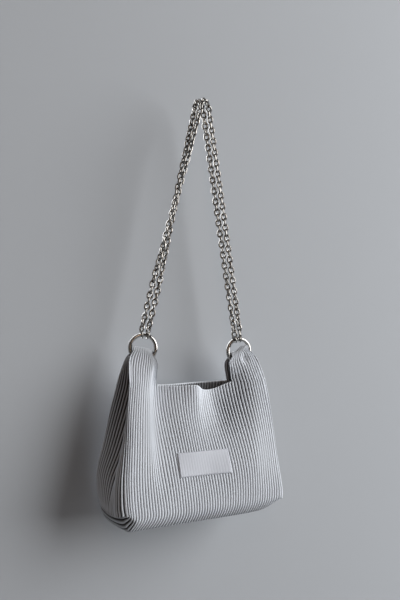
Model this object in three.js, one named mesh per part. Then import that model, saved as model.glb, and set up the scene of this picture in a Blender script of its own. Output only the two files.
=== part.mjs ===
// Knit bag: a soft ribbed body with a flat ear at each upper corner, a metal ring folded into each ear,
// a bare label patch on the front and a shoulder chain of two strands that hangs over its middle.
// Millimetres, Z up. The bag faces -Y. Shapes are worked out from the middle of the bag's foot line,
// and the whole group is moved so that the hanging point under the chain is the origin.
import * as THREE from 'three';

// Fabric
const WALL = 1.9;            // from the top of a rib to the inside face
const GROOVE = 0.8;          // depth of the groove between two ribs
const RIBS = 60;             // ribs across the front, the same across the back
const GUSSET_RIBS = 20;      // ribs across one side gusset
const MOUTH = 128.5;         // height of the mouth edge
const EAR_TOP = 165;         // height of the fold line of the higher ear

// Outline of the body by height. left, right, front and back place the corner edges, flare is how far
// the back edges stand outside the front ones, fold is how far a gusset is tucked in, bulge how far it
// swells out, innerLeft and innerRight place the inner edges of the ears.
const SECTIONS = [
  { z: 0, left: 94.6, right: 94.4, front: 38, back: 36, flare: 0, fold: 0, bulge: 3,
    innerLeft: 42, innerRight: 50.6 },
  { z: 9, left: 95.8, right: 95.9, front: 36.6, back: 37, flare: 1, fold: 1, bulge: 2.6,
    innerLeft: 42, innerRight: 50.6 },
  { z: 36, left: 94.2, right: 95.6, front: 30, back: 36.5, flare: 3, fold: 5, bulge: 1.6,
    innerLeft: 42, innerRight: 50.6 },
  { z: 65, left: 90.4, right: 94.8, front: 23.8, back: 30.5, flare: 3, fold: 13, bulge: 0,
    innerLeft: 42, innerRight: 50.6 },
  { z: 100, left: 85, right: 93.2, front: 16.2, back: 22.5, flare: 3, fold: 20, bulge: 0,
    innerLeft: 42, innerRight: 50.6 },
  { z: 128.5, left: 79.6, right: 90.4, front: 9.9, back: 16.5, flare: 3, fold: 21, bulge: 0,
    innerLeft: 42, innerRight: 50.6 },
  { z: 145, left: 77, right: 86.5, front: 7.2, back: 12.5, flare: 2.5, fold: 14, bulge: 0,
    innerLeft: 44.5, innerRight: 47.6 },
  { z: 158, left: 74, right: 81, front: 5.2, back: 7.5, flare: 1.5, fold: -2.5, bulge: 0,
    innerLeft: 45.7, innerRight: 46.2 },
  { z: 165, left: 69.8, right: 70.3, front: 4.6, back: 4.6, flare: 0, fold: -3, bulge: 0,
    innerLeft: 50.1, innerRight: 50.1 },
];
const WALL_ROWS = [0, 0.07, 0.35, 0.7, 1];      // rows from the foot line to the mouth
const EAR_ROWS = [128.5, 145, 158, 165];        // rows from the mouth to the fold line
const GUSSET_EAR_ROWS = 2;                      // the gusset ends after this many ear rows
const ARCH_STEPS = 4;                           // steps of the fold round the ring
const BASE_ROWS = [-1, -0.94, -0.78, 0, 0.78, 0.94, 1];   // rows of the base from front to back

// Base: sags between the foot lines
const BASE_SAG = 14;
const BASE_POWER = 8;        // higher turns the foot of the walls under more sharply
const BASE_END_SAG = 5;
const BASE_FLATNESS = { left: 13, right: 6.5 };   // higher is flatter towards that end

// Folds of the two walls by rib, counted from the left and measured at the mouth: out is how far the wall
// stands out, shift how far the rib is drawn to the side, reach how far both fade downward, lip a short fold
// of the mouth edge itself, drop how much it lowers that edge, and belly a swelling at half height.
const FOLDS = {
  front: [
    { rib: 0, out: 0, shift: 0, reach: 75, lip: 0, drop: 0, belly: 0 },
    { rib: 5, out: 1.3, shift: -2.2, reach: 80, lip: 0, drop: 0, belly: -1 },
    { rib: 10, out: -1.2, shift: -3.6, reach: 106, lip: 0, drop: 0, belly: -2 },
    { rib: 14, out: -9.6, shift: -10, reach: 122, lip: 0, drop: 0, belly: -2.5 },
    { rib: 18, out: -12, shift: -12.6, reach: 108, lip: 0, drop: 0, belly: -2.5 },
    { rib: 26, out: -4, shift: -13, reach: 107, lip: 0, drop: 0.6, belly: -2 },
    { rib: 32, out: -5.2, shift: -12, reach: 118, lip: 7, drop: 0.4, belly: -0.5 },
    { rib: 36, out: -11, shift: -11, reach: 116, lip: 3.5, drop: 6.4, belly: 2 },
    { rib: 41, out: -14.6, shift: -8.7, reach: 112, lip: 0, drop: 7.2, belly: 4.5 },
    { rib: 48, out: -8.9, shift: -5, reach: 105, lip: 0, drop: 0, belly: 5.5 },
    { rib: 54, out: 0.6, shift: -3, reach: 60, lip: 0, drop: 0, belly: 3 },
    { rib: 60, out: 0, shift: 0, reach: 55, lip: 0, drop: 0, belly: 0 },
  ],
  back: [
    { rib: 0, out: 0, reach: 80, lip: 0, drop: 0, belly: 0 },
    { rib: 10, out: -1, reach: 85, lip: 0, drop: 0, belly: 0 },
    { rib: 18, out: -5.6, reach: 90, lip: 0, drop: 0, belly: 0 },
    { rib: 26, out: -5, reach: 90, lip: 0, drop: 0.6, belly: 0 },
    { rib: 36, out: 2, reach: 80, lip: 0, drop: 0.8, belly: 0 },
    { rib: 42, out: 1, reach: 80, lip: 0, drop: 0.5, belly: 0 },
    { rib: 48, out: -4, reach: 90, lip: 0, drop: 0, belly: 0 },
    { rib: 60, out: 0, reach: 80, lip: 0, drop: 0, belly: 0 },
  ],
};
const LIP_REACH = 40;
const BELLY_HEIGHT = 45;

// Ears: side of the bag, ribs, share of the full ear height, turn of the ring and ear top about Z, rise
// of the fold line towards the outside, middle of the ring, and how much the ribs crowd to the inner edge
// towards the top.
const EARS = {
  left: { side: -1, ribs: 18, share: 1, turn: -20, rise: 0.18, ringX: -59.7, gather: 0.9 },
  right: { side: 1, ribs: 12, share: 0.81, turn: -6, rise: 0.16, ringX: 60.3, gather: 0 },
};
const TWIST_END = 165;       // height at which an ear has its whole turn
const FLAT_FROM = 158;       // height above which an ear has no folds

// Rings and chain
const RING_RADIUS = 13.6;
const RING_WIRE = 2.1;
const RING_ABOVE_FOLD = 4.2;
const END_LINK_RADIUS = 3.9;
const END_LINK_WIRE = 0.8;
const END_LINK_GAP = 0.35;
const END_LINK_LEAN = 9;      // degrees from the top of the ring towards the bag's middle
const STRAND_LIFT = 1.1;     // of the strands above the end links
const STRAND_RADIUS = 2.8;
const STRAND_SPACING = 6.4;
const STRAND_STEPS = 40;
const STRAND_SIDES = 8;
const STRANDS = [['a', -1], ['b', 1]];          // name and side of the middle line
const SUPPORT_RADIUS = 11;   // of what the chain hangs over
const HANG = new THREE.Vector3(7.5, -5, 433);   // underside of the chain at its middle
const OVER = new THREE.Vector3(0.78, 0.626, 0); // from the front leg over to the back leg

// Label
const LABEL = { left: -29, right: 31, low: 34.5, high: 59, thick: 0.8, gap: 0.3, columns: 10, rows: 3 };

/** Value of one column of a table at a place along its key column: a smooth curve through the rows. */
function lookup(rows, column, at, key = 'z') {
  const last = rows.length - 1;
  let i = 0;
  while (i < last - 1 && at > rows[i + 1][key]) i += 1;
  const slope = (k) => {
    const a = rows[Math.max(k - 1, 0)];
    const b = rows[Math.min(k + 1, last)];
    return (b[column] - a[column]) / (b[key] - a[key]);
  };
  const span = rows[i + 1][key] - rows[i][key];
  const t = THREE.MathUtils.clamp((at - rows[i][key]) / span, 0, 1);
  const h = t * t * (3 - 2 * t);
  const p = rows[i][column] * (1 - h) + rows[i + 1][column] * h;
  return p + span * (slope(i) * t * (1 - t) ** 2 - slope(i + 1) * t * t * (1 - t));
}

const smooth = (t) => THREE.MathUtils.smoothstep(t, 0, 1);

/** Place across the bag at height z of rib place s, which runs from -1 at the left to 1 at the right. */
function across(s, z) {
  const left = -lookup(SECTIONS, 'left', z);
  return left + ((s + 1) / 2) * (lookup(SECTIONS, 'right', z) - left);
}

/** One column of a wall's fold table at rib place s. */
function foldValue(face, column, s) {
  return lookup(FOLDS[face], column, ((s + 1) / 2) * RIBS, 'rib');
}

/** Share of its full depth that a fold of this reach has at height z. */
function foldShare(reach, z) {
  return smooth((z - MOUTH + reach) / reach) * (1 - smooth((z - MOUTH) / (FLAT_FROM - MOUTH)));
}

/** How far the folds of a wall stand out at rib place s and height z. */
function foldOut(face, s, z) {
  const hill = smooth(z / BELLY_HEIGHT) * (1 - smooth((z - BELLY_HEIGHT) / (MOUTH - BELLY_HEIGHT)));
  return foldValue(face, 'out', s) * foldShare(foldValue(face, 'reach', s), z)
    + foldValue(face, 'lip', s) * foldShare(LIP_REACH, z) + foldValue(face, 'belly', s) * hill;
}

/** Place across the bag of rib place s at height z with the side shift of the folds. */
function drawnAcross(s, z) {
  return across(s, z) + foldValue('front', 'shift', s) * foldShare(foldValue('front', 'reach', s), z);
}

/** Height of the mouth edge at rib place s; the ears rise from its full height. */
function mouthHeight(face, s) {
  const rib = ((s + 1) / 2) * RIBS;
  const open = rib > EARS.left.ribs && rib < RIBS - EARS.right.ribs;
  return open ? MOUTH - Math.max(0, foldValue(face, 'drop', s)) : MOUTH;
}

/** Moves a point of an ear: the lower ear is shortened, its top turns and its fold line rises outward. */
function shapeEar(point) {
  if (point.z <= MOUTH) return point;
  const ear = point.x < 0 ? EARS.left : EARS.right;
  const up = (point.z - MOUTH) / (EAR_TOP - MOUTH);
  const angle = THREE.MathUtils.degToRad(ear.turn) * smooth((point.z - MOUTH) / (TWIST_END - MOUTH));
  const x = point.x - ear.ringX;
  const rise = ear.rise * ear.side * x * smooth(up);
  point.z = MOUTH + (point.z - MOUTH) * ear.share + rise;
  const y = point.y;
  point.x = ear.ringX + x * Math.cos(angle) - y * Math.sin(angle);
  point.y = x * Math.sin(angle) + y * Math.cos(angle);
  return point;
}

/** Point of the front or back wall at rib place s and height z; above the mouth, of an ear. */
function wallPoint(face, s, z) {
  const depth = lookup(SECTIONS, face, z) + foldOut(face, s, z);
  let x = drawnAcross(s, Math.min(z, MOUTH));
  if (z > MOUTH) {
    const ear = s < 0 ? EARS.left : EARS.right;
    const edge = drawnAcross(ear.side * (1 - (2 * ear.ribs) / RIBS), MOUTH);
    const inner = ear.side * lookup(SECTIONS, s < 0 ? 'innerLeft' : 'innerRight', z);
    const share = THREE.MathUtils.clamp((x - edge) / (across(ear.side, MOUTH) - edge), 0, 1);
    const gather = 1 + ear.gather * ((z - MOUTH) / (EAR_TOP - MOUTH));
    x = inner + share ** gather * (across(ear.side, z) - inner);
  }
  if (face === 'back') x += lookup(SECTIONS, 'flare', z) * s ** 3;
  return shapeEar(new THREE.Vector3(x, face === 'front' ? -depth : depth, z));
}

/** Row of points across a side gusset at height z, from the front corner to the back corner. */
function gussetRow(side, z, sag) {
  const fold = lookup(SECTIONS, 'fold', z);
  const bulge = lookup(SECTIONS, 'bulge', z);
  const half = (face, flare) => {
    const depth = lookup(SECTIONS, face, z) + foldOut(face, side, z);
    const line = new THREE.CubicBezierCurve(
      new THREE.Vector2(-flare, depth), new THREE.Vector2(-flare, 0.45 * depth),
      new THREE.Vector2(0.55 * fold, 0.12 * depth), new THREE.Vector2(fold, 0));
    return line.getSpacedPoints(GUSSET_RIBS).map((p) => {
      const middle = 1 - (p.y / depth) ** 2;
      const x = across(side, z) + side * (bulge * middle - p.x);
      return shapeEar(new THREE.Vector3(x, face === 'front' ? -p.y : p.y, z - sag * middle));
    });
  };
  const back = half('back', lookup(SECTIONS, 'flare', z)).slice(0, -1);
  return [...half('front', 0), ...back.reverse()];
}

/** Point of the base at rib place s and place q from front (-1) to back (1). */
function basePoint(s, q) {
  const middle = 1 - q * q;
  const end = Math.abs(s) ** (s < 0 ? BASE_FLATNESS.left : BASE_FLATNESS.right);
  const foot = SECTIONS[0];
  const z = -BASE_SAG * (1 - Math.abs(q) ** BASE_POWER) * (1 - end) - BASE_END_SAG * middle * end;
  const x = across(s, 0) + Math.sign(s) * foot.bulge * middle * end;
  return new THREE.Vector3(x, q * (q < 0 ? foot.front : foot.back), z);
}

/** A sheet of ribbed fabric: points, cells one rib wide, and loose triangles for joining strips. */
class Sheet {
  constructor() {
    this.points = [];
    this.lookup = new Map();
    this.groove = [];
    this.outer = [];
    this.inner = [];
    this.middle = new Map();
  }

  /** Number of the point at this place; groove is how deep the fabric dips there. */
  point(p, groove) {
    const key = p.toArray().map((c) => Math.round(c * 1000)).join();
    if (!this.lookup.has(key)) {
      this.lookup.set(key, this.points.length);
      this.points.push(p);
      this.groove.push(groove);
    }
    return this.lookup.get(key);
  }

  /** Row of points: ridges at the even places, grooves at the odd ones. */
  row(points, depth = GROOVE) {
    return points.map((p, i) => this.point(p, i % 2 ? depth : 0));
  }

  /** Cells between a low and a high row, one for each rib from the first to the last. */
  strip(low, high, first = 0, last = (low.length - 1) / 2) {
    for (let rib = first; rib < last; rib += 1) {
      const [a, g, b] = low.slice(2 * rib, 2 * rib + 3);
      const [c, h, d] = high.slice(2 * rib, 2 * rib + 3);
      this.outer.push([a, g, h], [a, h, c], [g, b, d], [g, d, h]);
      this.inner.push([a, b, d], [a, d, c]);
      [[a, g, b], [c, h, d]].forEach(([from, mid, to]) => {
        this.middle.set(`${from},${to}`, mid);
        this.middle.set(`${to},${from}`, mid);
      });
    }
  }

  /** Triangles between two lines of points that run front to back, left line first seen from outside. */
  zip(list, left, right) {
    let i = 0;
    let j = 0;
    const y = (n) => this.points[n].y;
    while (i < left.length - 1 || j < right.length - 1) {
      const stepLeft = j === right.length - 1
        || (i < left.length - 1 && y(left[i + 1]) < y(right[j + 1]));
      if (stepLeft) {
        list.push([left[i], right[j], left[i + 1]]);
        i += 1;
      } else {
        list.push([left[i], right[j], right[j + 1]]);
        j += 1;
      }
    }
  }

  /** Closed solid: the ribbed outer face, the smooth inner face and the rims between them. */
  solid() {
    const flat = new THREE.BufferGeometry();
    const places = this.points.flatMap((p) => p.toArray());
    flat.setAttribute('position', new THREE.Float32BufferAttribute(places, 3));
    flat.setIndex(this.outer.flat());
    flat.computeVertexNormals();
    const facing = flat.attributes.normal;
    const normal = this.points.map((p, n) => new THREE.Vector3().fromBufferAttribute(facing, n));
    const share = this.points.map(() => ({ sum: 0, count: 0 }));
    this.outer.forEach((corners) => {
      const [a, b, c] = corners.map((n) => this.points[n]);
      const face = new THREE.Triangle(a, b, c).getNormal(new THREE.Vector3());
      corners.forEach((n) => {
        share[n].sum += face.dot(normal[n]);
        share[n].count += 1;
      });
    });
    const thick = share.map(({ sum, count }) => WALL * Math.min(1.4, count / sum));
    const outside = this.points.map((p, n) => p.clone().addScaledVector(normal[n], -this.groove[n]));
    const inside = this.points.map((p, n) => p.clone().addScaledVector(normal[n], -thick[n]));
    const vertices = [];
    const face = (a, b, c) => [a, b, c].forEach((p) => vertices.push(p.x, p.y, p.z));
    this.outer.forEach(([a, b, c]) => face(outside[a], outside[b], outside[c]));
    this.inner.forEach(([a, b, c]) => face(inside[a], inside[c], inside[b]));
    const edges = new Set(this.inner.flatMap(([a, b, c]) => [`${a},${b}`, `${b},${c}`, `${c},${a}`]));
    edges.forEach((edge) => {
      const [a, b] = edge.split(',').map(Number);
      if (edges.has(`${b},${a}`)) return;
      const mid = this.middle.get(edge);
      if (mid === undefined) {
        face(outside[b], outside[a], inside[a]);
        face(outside[b], inside[a], inside[b]);
      } else {
        face(outside[b], outside[mid], inside[b]);
        face(outside[mid], outside[a], inside[a]);
        face(outside[mid], inside[a], inside[b]);
      }
    });
    const geometry = new THREE.BufferGeometry();
    geometry.setAttribute('position', new THREE.Float32BufferAttribute(vertices, 3));
    geometry.computeVertexNormals();
    return geometry;
  }
}

/** Body: walls and gussets as a tube of rows, ears with their folds, and the sagging base. */
function bodyGeometry() {
  const sheet = new Sheet();
  const places = Array.from({ length: 2 * RIBS + 1 }, (_, i) => -1 + i / RIBS);
  const level = (z, s, face) => (z / MOUTH) * mouthHeight(face, s);
  const wallRow = (face, z) => places.map((s) => wallPoint(face, s, z > MOUTH ? z : level(z, s, face)));
  const rows = WALL_ROWS.map((v) => v * MOUTH);
  const front = rows.map((z) => sheet.row(wallRow('front', z)));
  const back = rows.map((z) => sheet.row(wallRow('back', z).reverse()));
  const gusset = (side) => rows.map((z) => {
    const line = gussetRow(side, z, BASE_END_SAG * (1 - z / MOUTH));
    return sheet.row(side > 0 ? line : line.reverse(), z === 0 ? 0 : GROOVE);
  });
  const sides = { right: gusset(1), left: gusset(-1) };
  for (let r = 0; r + 1 < rows.length; r += 1) {
    [front, sides.right, back, sides.left].forEach((face) => sheet.strip(face[r], face[r + 1]));
  }

  // Ears: the front and back layers rise to the fold line and are joined by an arch over the ring
  const earPlaces = (face, { side, ribs }) => {
    const list = side < 0 ? places.slice(0, 2 * ribs + 1) : places.slice(-2 * ribs - 1);
    return face === 'front' ? list : list.reverse();
  };
  Object.values(EARS).forEach((ear) => {
    const { side } = ear;
    const layer = (face, z) => earPlaces(face, ear).map((s) => wallPoint(face, s, z));
    ['front', 'back'].forEach((face) => {
      for (let r = 0; r + 1 < EAR_ROWS.length; r += 1) {
        sheet.strip(sheet.row(layer(face, EAR_ROWS[r])), sheet.row(layer(face, EAR_ROWS[r + 1])));
      }
    });
    for (let r = 0; r < GUSSET_EAR_ROWS; r += 1) {
      const [low, high] = [EAR_ROWS[r], EAR_ROWS[r + 1]].map((z) => {
        const line = gussetRow(side, z, 0);
        return sheet.row(side > 0 ? line : line.reverse());
      });
      sheet.strip(low, high);
    }
    const foldFront = layer('front', EAR_TOP);
    const foldBack = layer('back', EAR_TOP).reverse();
    let low = sheet.row(foldFront);
    for (let k = 1; k <= ARCH_STEPS; k += 1) {
      const angle = (Math.PI * k) / ARCH_STEPS;
      const arch = foldFront.map((p, i) => {
        const middle = p.clone().lerp(foldBack[i], 0.5);
        const reach = p.clone().sub(middle);
        const rise = reach.length() * Math.sin(angle);
        return middle.addScaledVector(reach, Math.cos(angle)).setZ(middle.z + rise);
      });
      const high = sheet.row(k === ARCH_STEPS ? foldBack : arch);
      sheet.strip(low, high);
      low = high;
    }
  });

  // Base: its ribs run on from the front wall to the back wall
  const base = BASE_ROWS.map((q) => sheet.row(places.map((s) => basePoint(s, q))));
  for (let r = 0; r + 1 < base.length; r += 1) {
    sheet.strip(base[r + 1], base[r], 1, RIBS - 1);
  }
  const column = (i) => base.map((row) => row[i]);
  const end = 2 * RIBS;
  const leftFoot = [...sides.left[0]].reverse();
  const rightFoot = sides.right[0];
  const ridges = (line) => line.filter((n, i) => i % 2 === 0);
  const closed = (line, i) => [base[0][i], ...line, base[base.length - 1][i]];
  sheet.zip(sheet.outer, column(2), closed(leftFoot, 1));
  sheet.zip(sheet.inner, column(2), ridges(leftFoot));
  sheet.zip(sheet.outer, closed(rightFoot, end - 1), column(end - 2));
  sheet.zip(sheet.inner, ridges(rightFoot), column(end - 2));
  return sheet.solid();
}

/** Label: a thin plate that follows the front wall just off its ribs. */
function labelGeometry() {
  const layers = [LABEL.gap, LABEL.gap + LABEL.thick].map((off) => (i, j) => {
    const z = LABEL.low + ((LABEL.high - LABEL.low) * j) / LABEL.rows;
    const x = LABEL.left + ((LABEL.right - LABEL.left) * i) / LABEL.columns;
    let s = 0;
    for (let k = 0; k < 8; k += 1) s += (2 * (x - drawnAcross(s, z))) / (across(1, z) - across(-1, z));
    const p = wallPoint('front', s, z);
    const alongX = wallPoint('front', s + 0.01, z).sub(p);
    const alongZ = wallPoint('front', s, z + 1).sub(p);
    return p.addScaledVector(alongX.cross(alongZ).normalize(), off);
  });
  const vertices = [];
  const quad = (a, b, c, d) => [a, b, c, a, c, d].forEach((p) => vertices.push(p.x, p.y, p.z));
  const [under, over] = layers;
  for (let i = 0; i < LABEL.columns; i += 1) {
    for (let j = 0; j < LABEL.rows; j += 1) {
      quad(over(i, j), over(i + 1, j), over(i + 1, j + 1), over(i, j + 1));
      quad(under(i, j), under(i, j + 1), under(i + 1, j + 1), under(i + 1, j));
    }
    quad(under(i, 0), under(i + 1, 0), over(i + 1, 0), over(i, 0));
    quad(over(i, LABEL.rows), over(i + 1, LABEL.rows), under(i + 1, LABEL.rows), under(i, LABEL.rows));
  }
  for (let j = 0; j < LABEL.rows; j += 1) {
    quad(under(0, j), over(0, j), over(0, j + 1), under(0, j + 1));
    const last = LABEL.columns;
    quad(over(last, j), under(last, j), under(last, j + 1), over(last, j + 1));
  }
  const geometry = new THREE.BufferGeometry();
  geometry.setAttribute('position', new THREE.Float32BufferAttribute(vertices, 3));
  geometry.computeVertexNormals();
  return geometry;
}

/** Middle of a ring. */
function ringCentre({ share, ringX }) {
  return new THREE.Vector3(ringX, 0, MOUTH + (EAR_TOP - MOUTH) * share + RING_ABOVE_FOLD);
}

/** Direction across the chain at a ring: level, in the plane of the ring. */
function ringAcross({ turn }) {
  const angle = THREE.MathUtils.degToRad(turn);
  return new THREE.Vector3(Math.cos(angle), Math.sin(angle), 0);
}

/** Place of an end link round its ring, from the top; half is -1 or 1 for the two strands. */
function endLinkAngle({ side }, half) {
  const lean = -side * THREE.MathUtils.degToRad(END_LINK_LEAN);
  return lean + Math.asin((half * STRAND_SPACING) / 2 / RING_RADIUS);
}

/** Middle of an end link, which is pulled up against the ring's inside. */
function endLinkCentre(ear, half) {
  const angle = endLinkAngle(ear, half);
  const out = RING_RADIUS + END_LINK_RADIUS - END_LINK_WIRE - RING_WIRE - END_LINK_GAP;
  return ringCentre(ear)
    .addScaledVector(ringAcross(ear), out * Math.sin(angle))
    .add(new THREE.Vector3(0, 0, out * Math.cos(angle)));
}

/** Middle line of the chain: up the front leg, over the support and down the back leg. */
function chainRoute() {
  const start = END_LINK_RADIUS + END_LINK_WIRE + STRAND_LIFT;
  const foot = (ear) => endLinkCentre(ear, 1)
    .lerp(endLinkCentre(ear, -1), 0.5).add(new THREE.Vector3(0, 0, start));
  const radius = SUPPORT_RADIUS + STRAND_RADIUS;
  const over = [];
  for (let k = 0; k <= 4; k += 1) {
    const angle = (Math.PI * (k + 0.25)) / 4.5;
    over.push(HANG.clone().addScaledVector(OVER, -radius * Math.cos(angle))
      .setZ(HANG.z - SUPPORT_RADIUS + radius * Math.sin(angle)));
  }
  const left = foot(EARS.left);
  const right = foot(EARS.right);
  const leg = (foot_, top) => [0.33, 0.66, 0.9].map((t) => foot_.clone().lerp(top, t));
  return new THREE.CatmullRomCurve3([left, ...leg(left, over[0]), ...over,
    ...leg(right, over[4]).reverse(), right], false, 'centripetal');
}

// Direction across the chain along its length: a row each at the left ring, the edge-on place of the
// front leg, the top and the right ring, as degrees about Z.
const CHAIN_TURN = [
  { z: 0, angle: -20 },
  { z: 0.2, angle: 34 },
  { z: 0.5, angle: 122 },
  { z: 0.8, angle: 150 },
  { z: 1, angle: 174 },
];

/** One strand of the chain, beside the middle line. */
class Strand extends THREE.Curve {
  constructor(route, half) {
    super();
    this.route = route;
    this.half = half;
  }

  getPoint(t) {
    const along = this.route.getTangentAt(t);
    const angle = THREE.MathUtils.degToRad(lookup(CHAIN_TURN, 'angle', t));
    const across = new THREE.Vector3(Math.cos(angle), Math.sin(angle), 0);
    across.addScaledVector(along, -across.dot(along)).normalize();
    return this.route.getPointAt(t).addScaledVector(across, (this.half * STRAND_SPACING) / 2);
  }
}

const fabric = new THREE.MeshStandardMaterial({ color: 0xc4c6c9, roughness: 0.9 });
const patch = new THREE.MeshStandardMaterial({ color: 0xd8dadd, roughness: 0.6 });
const metal = new THREE.MeshStandardMaterial({ color: 0xc9c5bd, roughness: 0.2, metalness: 1 });

const group = new THREE.Group();

function add(name, geometry, material) {
  const mesh = new THREE.Mesh(geometry, material);
  mesh.name = name;
  group.add(mesh);
  return mesh;
}

add('bag_body', bodyGeometry(), fabric);
add('label_patch', labelGeometry(), patch);

const AXIS = new THREE.Vector3(0, 0, 1);        // of a torus as it is made
Object.entries(EARS).forEach(([name, ear]) => {
  const ring = add(`ring_${name}`, new THREE.TorusGeometry(RING_RADIUS, RING_WIRE, 8, 28), metal);
  ring.quaternion.setFromUnitVectors(AXIS, ringAcross(ear).cross(AXIS));
  ring.position.copy(ringCentre(ear));
  STRANDS.forEach(([strand, half]) => {
    const link = add(`end_link_${name}_${strand}`,
      new THREE.TorusGeometry(END_LINK_RADIUS, END_LINK_WIRE, 6, 14), metal);
    const angle = endLinkAngle(ear, half);
    const wire = ringAcross(ear).multiplyScalar(Math.cos(angle)).addScaledVector(AXIS, -Math.sin(angle));
    link.quaternion.setFromUnitVectors(AXIS, wire);
    link.position.copy(endLinkCentre(ear, half));
  });
});

const circle = new THREE.Shape().absarc(0, 0, STRAND_RADIUS, 0, 2 * Math.PI);
const route = chainRoute();
STRANDS.forEach(([strand, half]) => {
  add(`chain_strand_${strand}`, new THREE.ExtrudeGeometry(circle, {
    steps: STRAND_STEPS, curveSegments: STRAND_SIDES / 2, bevelEnabled: false,
    extrudePath: new Strand(route, half),
  }), metal);
});

group.position.copy(HANG).negate();
export default group;
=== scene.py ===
"""Knit bag that hangs by its double chain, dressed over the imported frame. Shapes are in millimetres."""

import bpy
import numpy as np
from mathutils import Matrix, Vector


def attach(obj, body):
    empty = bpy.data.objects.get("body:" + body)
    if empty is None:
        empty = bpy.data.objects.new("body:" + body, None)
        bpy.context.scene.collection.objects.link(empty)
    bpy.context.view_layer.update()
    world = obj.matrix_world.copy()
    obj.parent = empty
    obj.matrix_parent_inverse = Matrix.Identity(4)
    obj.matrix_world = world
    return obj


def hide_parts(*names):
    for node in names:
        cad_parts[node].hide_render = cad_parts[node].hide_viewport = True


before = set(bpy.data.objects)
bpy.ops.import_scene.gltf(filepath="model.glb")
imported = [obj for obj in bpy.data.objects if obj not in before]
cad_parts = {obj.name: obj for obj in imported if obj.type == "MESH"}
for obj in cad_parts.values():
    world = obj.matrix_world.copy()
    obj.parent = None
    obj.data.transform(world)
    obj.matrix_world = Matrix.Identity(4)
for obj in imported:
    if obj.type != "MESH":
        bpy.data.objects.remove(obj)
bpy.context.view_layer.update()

# View, light and stage
# The bag hangs close in front of a plain pale sweep of paper. One large soft lamp on its right throws its
# shadow on the paper to the left, a weak warm strip lights it from its left, and a third lamp lights its
# back through the paper, which is clear from behind. The camera stands a little above the ears.
CAMERA_PLACE = (-0.42738, -0.73355, -0.20887)
CAMERA_RIGHT = (0.86463, -0.50238, 0.00593)
CAMERA_UP = (-0.0025, 0.0075, 0.99997)
CAMERA_BACK = (-0.50241, -0.86461, 0.00524)
LENS = 46.79
SENSOR = 36.0
AIM = Vector((0.0, 0.0, -0.33))     # what the lamps point at
LAMPS = {
    "lamp_right": dict(place=(2.2, -1.8, 0.6), size=(3.2, 3.2), power=152.0, colour=(0.98, 0.988, 1.0)),
    "lamp_fill": dict(place=(-0.9, -1.9, 0.5), size=(0.22, 2.4), power=4.0, colour=(1.0, 0.72, 0.55)),
    "lamp_back": dict(place=(0.5, 2.3, 0.5), size=(1.6, 1.6), power=42.0, colour=(0.98, 0.99, 1.0)),
}
ROOM_COLOUR = (1.0, 0.93, 0.87, 1.0)
ROOM_STRENGTH = 0.06
FLOOR = -1.35          # height of the paper's floor
FLOOR_FRONT = -3.5     # where it starts in front of the bag
WALL_AWAY = 0.052      # the upright part: how far behind the bag, how high, and the bend below it
WALL_HEIGHT = 4.0
WALL_BEND = 0.6
STAGE_HALF = 4.0       # half of the paper's width
PAPER_DULL = (0.33, 0.344, 0.362, 1.0)
PAPER_PALE = (0.355, 0.37, 0.388, 1.0)

camera_data = bpy.data.cameras.new("photo_view")
camera_data.lens = LENS
camera_data.sensor_width = SENSOR
camera_data.dof.use_dof = False
camera = bpy.data.objects.new("photo_view", camera_data)
bpy.context.collection.objects.link(camera)
turned = Matrix((CAMERA_RIGHT, CAMERA_UP, CAMERA_BACK)).transposed().to_4x4()
camera.matrix_world = Matrix.Translation(CAMERA_PLACE) @ turned
bpy.context.scene.camera = camera
bpy.context.scene.view_settings.view_transform = "Standard"

for name, lamp in LAMPS.items():
    light_data = bpy.data.lights.new(name, "AREA")
    light_data.shape = "ELLIPSE"
    light_data.size, light_data.size_y = lamp["size"]
    light_data.energy = lamp["power"]
    light_data.color = lamp["colour"]
    light = bpy.data.objects.new(name, light_data)
    light.location = lamp["place"]
    light.rotation_euler = (AIM - light.location).to_track_quat("-Z", "Y").to_euler()
    bpy.context.collection.objects.link(light)
back_light = bpy.data.objects["lamp_back"]

world = bpy.data.worlds.new("studio")
world.use_nodes = True
background = world.node_tree.nodes["Background"]
background.inputs["Color"].default_value = ROOM_COLOUR
background.inputs["Strength"].default_value = ROOM_STRENGTH
bpy.context.scene.world = world


def shader_node(tree, kind, inputs=(), **settings):
    """Adds one node. Each input is a socket name or number with a value, or with a socket to link from."""
    made = tree.nodes.new(kind)
    for setting, value in settings.items():
        setattr(made, setting, value)
    for socket, value in dict(inputs).items():
        if isinstance(value, bpy.types.NodeSocket):
            tree.links.new(value, made.inputs[socket])
        else:
            made.inputs[socket].default_value = value
    return made


def new_finish(name):
    """A material with only its surface shader, and the tree that it stands in."""
    finish = bpy.data.materials.new(name)
    finish.use_nodes = True
    tree = finish.node_tree
    return finish, tree, tree.nodes["Principled BSDF"]


def grid_quads(numbers):
    """Corners of the cells of a grid of point numbers, row by row: low, next along, above it, above."""
    cells = [numbers[:-1, :-1], numbers[:-1, 1:], numbers[1:, 1:], numbers[1:, :-1]]
    return np.stack(cells, -1).reshape(-1, 4)


def make_piece(name, points, quads, finish):
    """Puts metres and four-cornered faces into a smooth mesh that stands at the origin."""
    mesh = bpy.data.meshes.new(name)
    mesh.from_pydata(points.tolist(), [], quads.tolist())
    mesh.polygons.foreach_set("use_smooth", np.ones(len(quads), dtype=bool))
    mesh.materials.append(finish)
    piece = bpy.data.objects.new(name, mesh)
    bpy.context.collection.objects.link(piece)
    return piece


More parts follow.
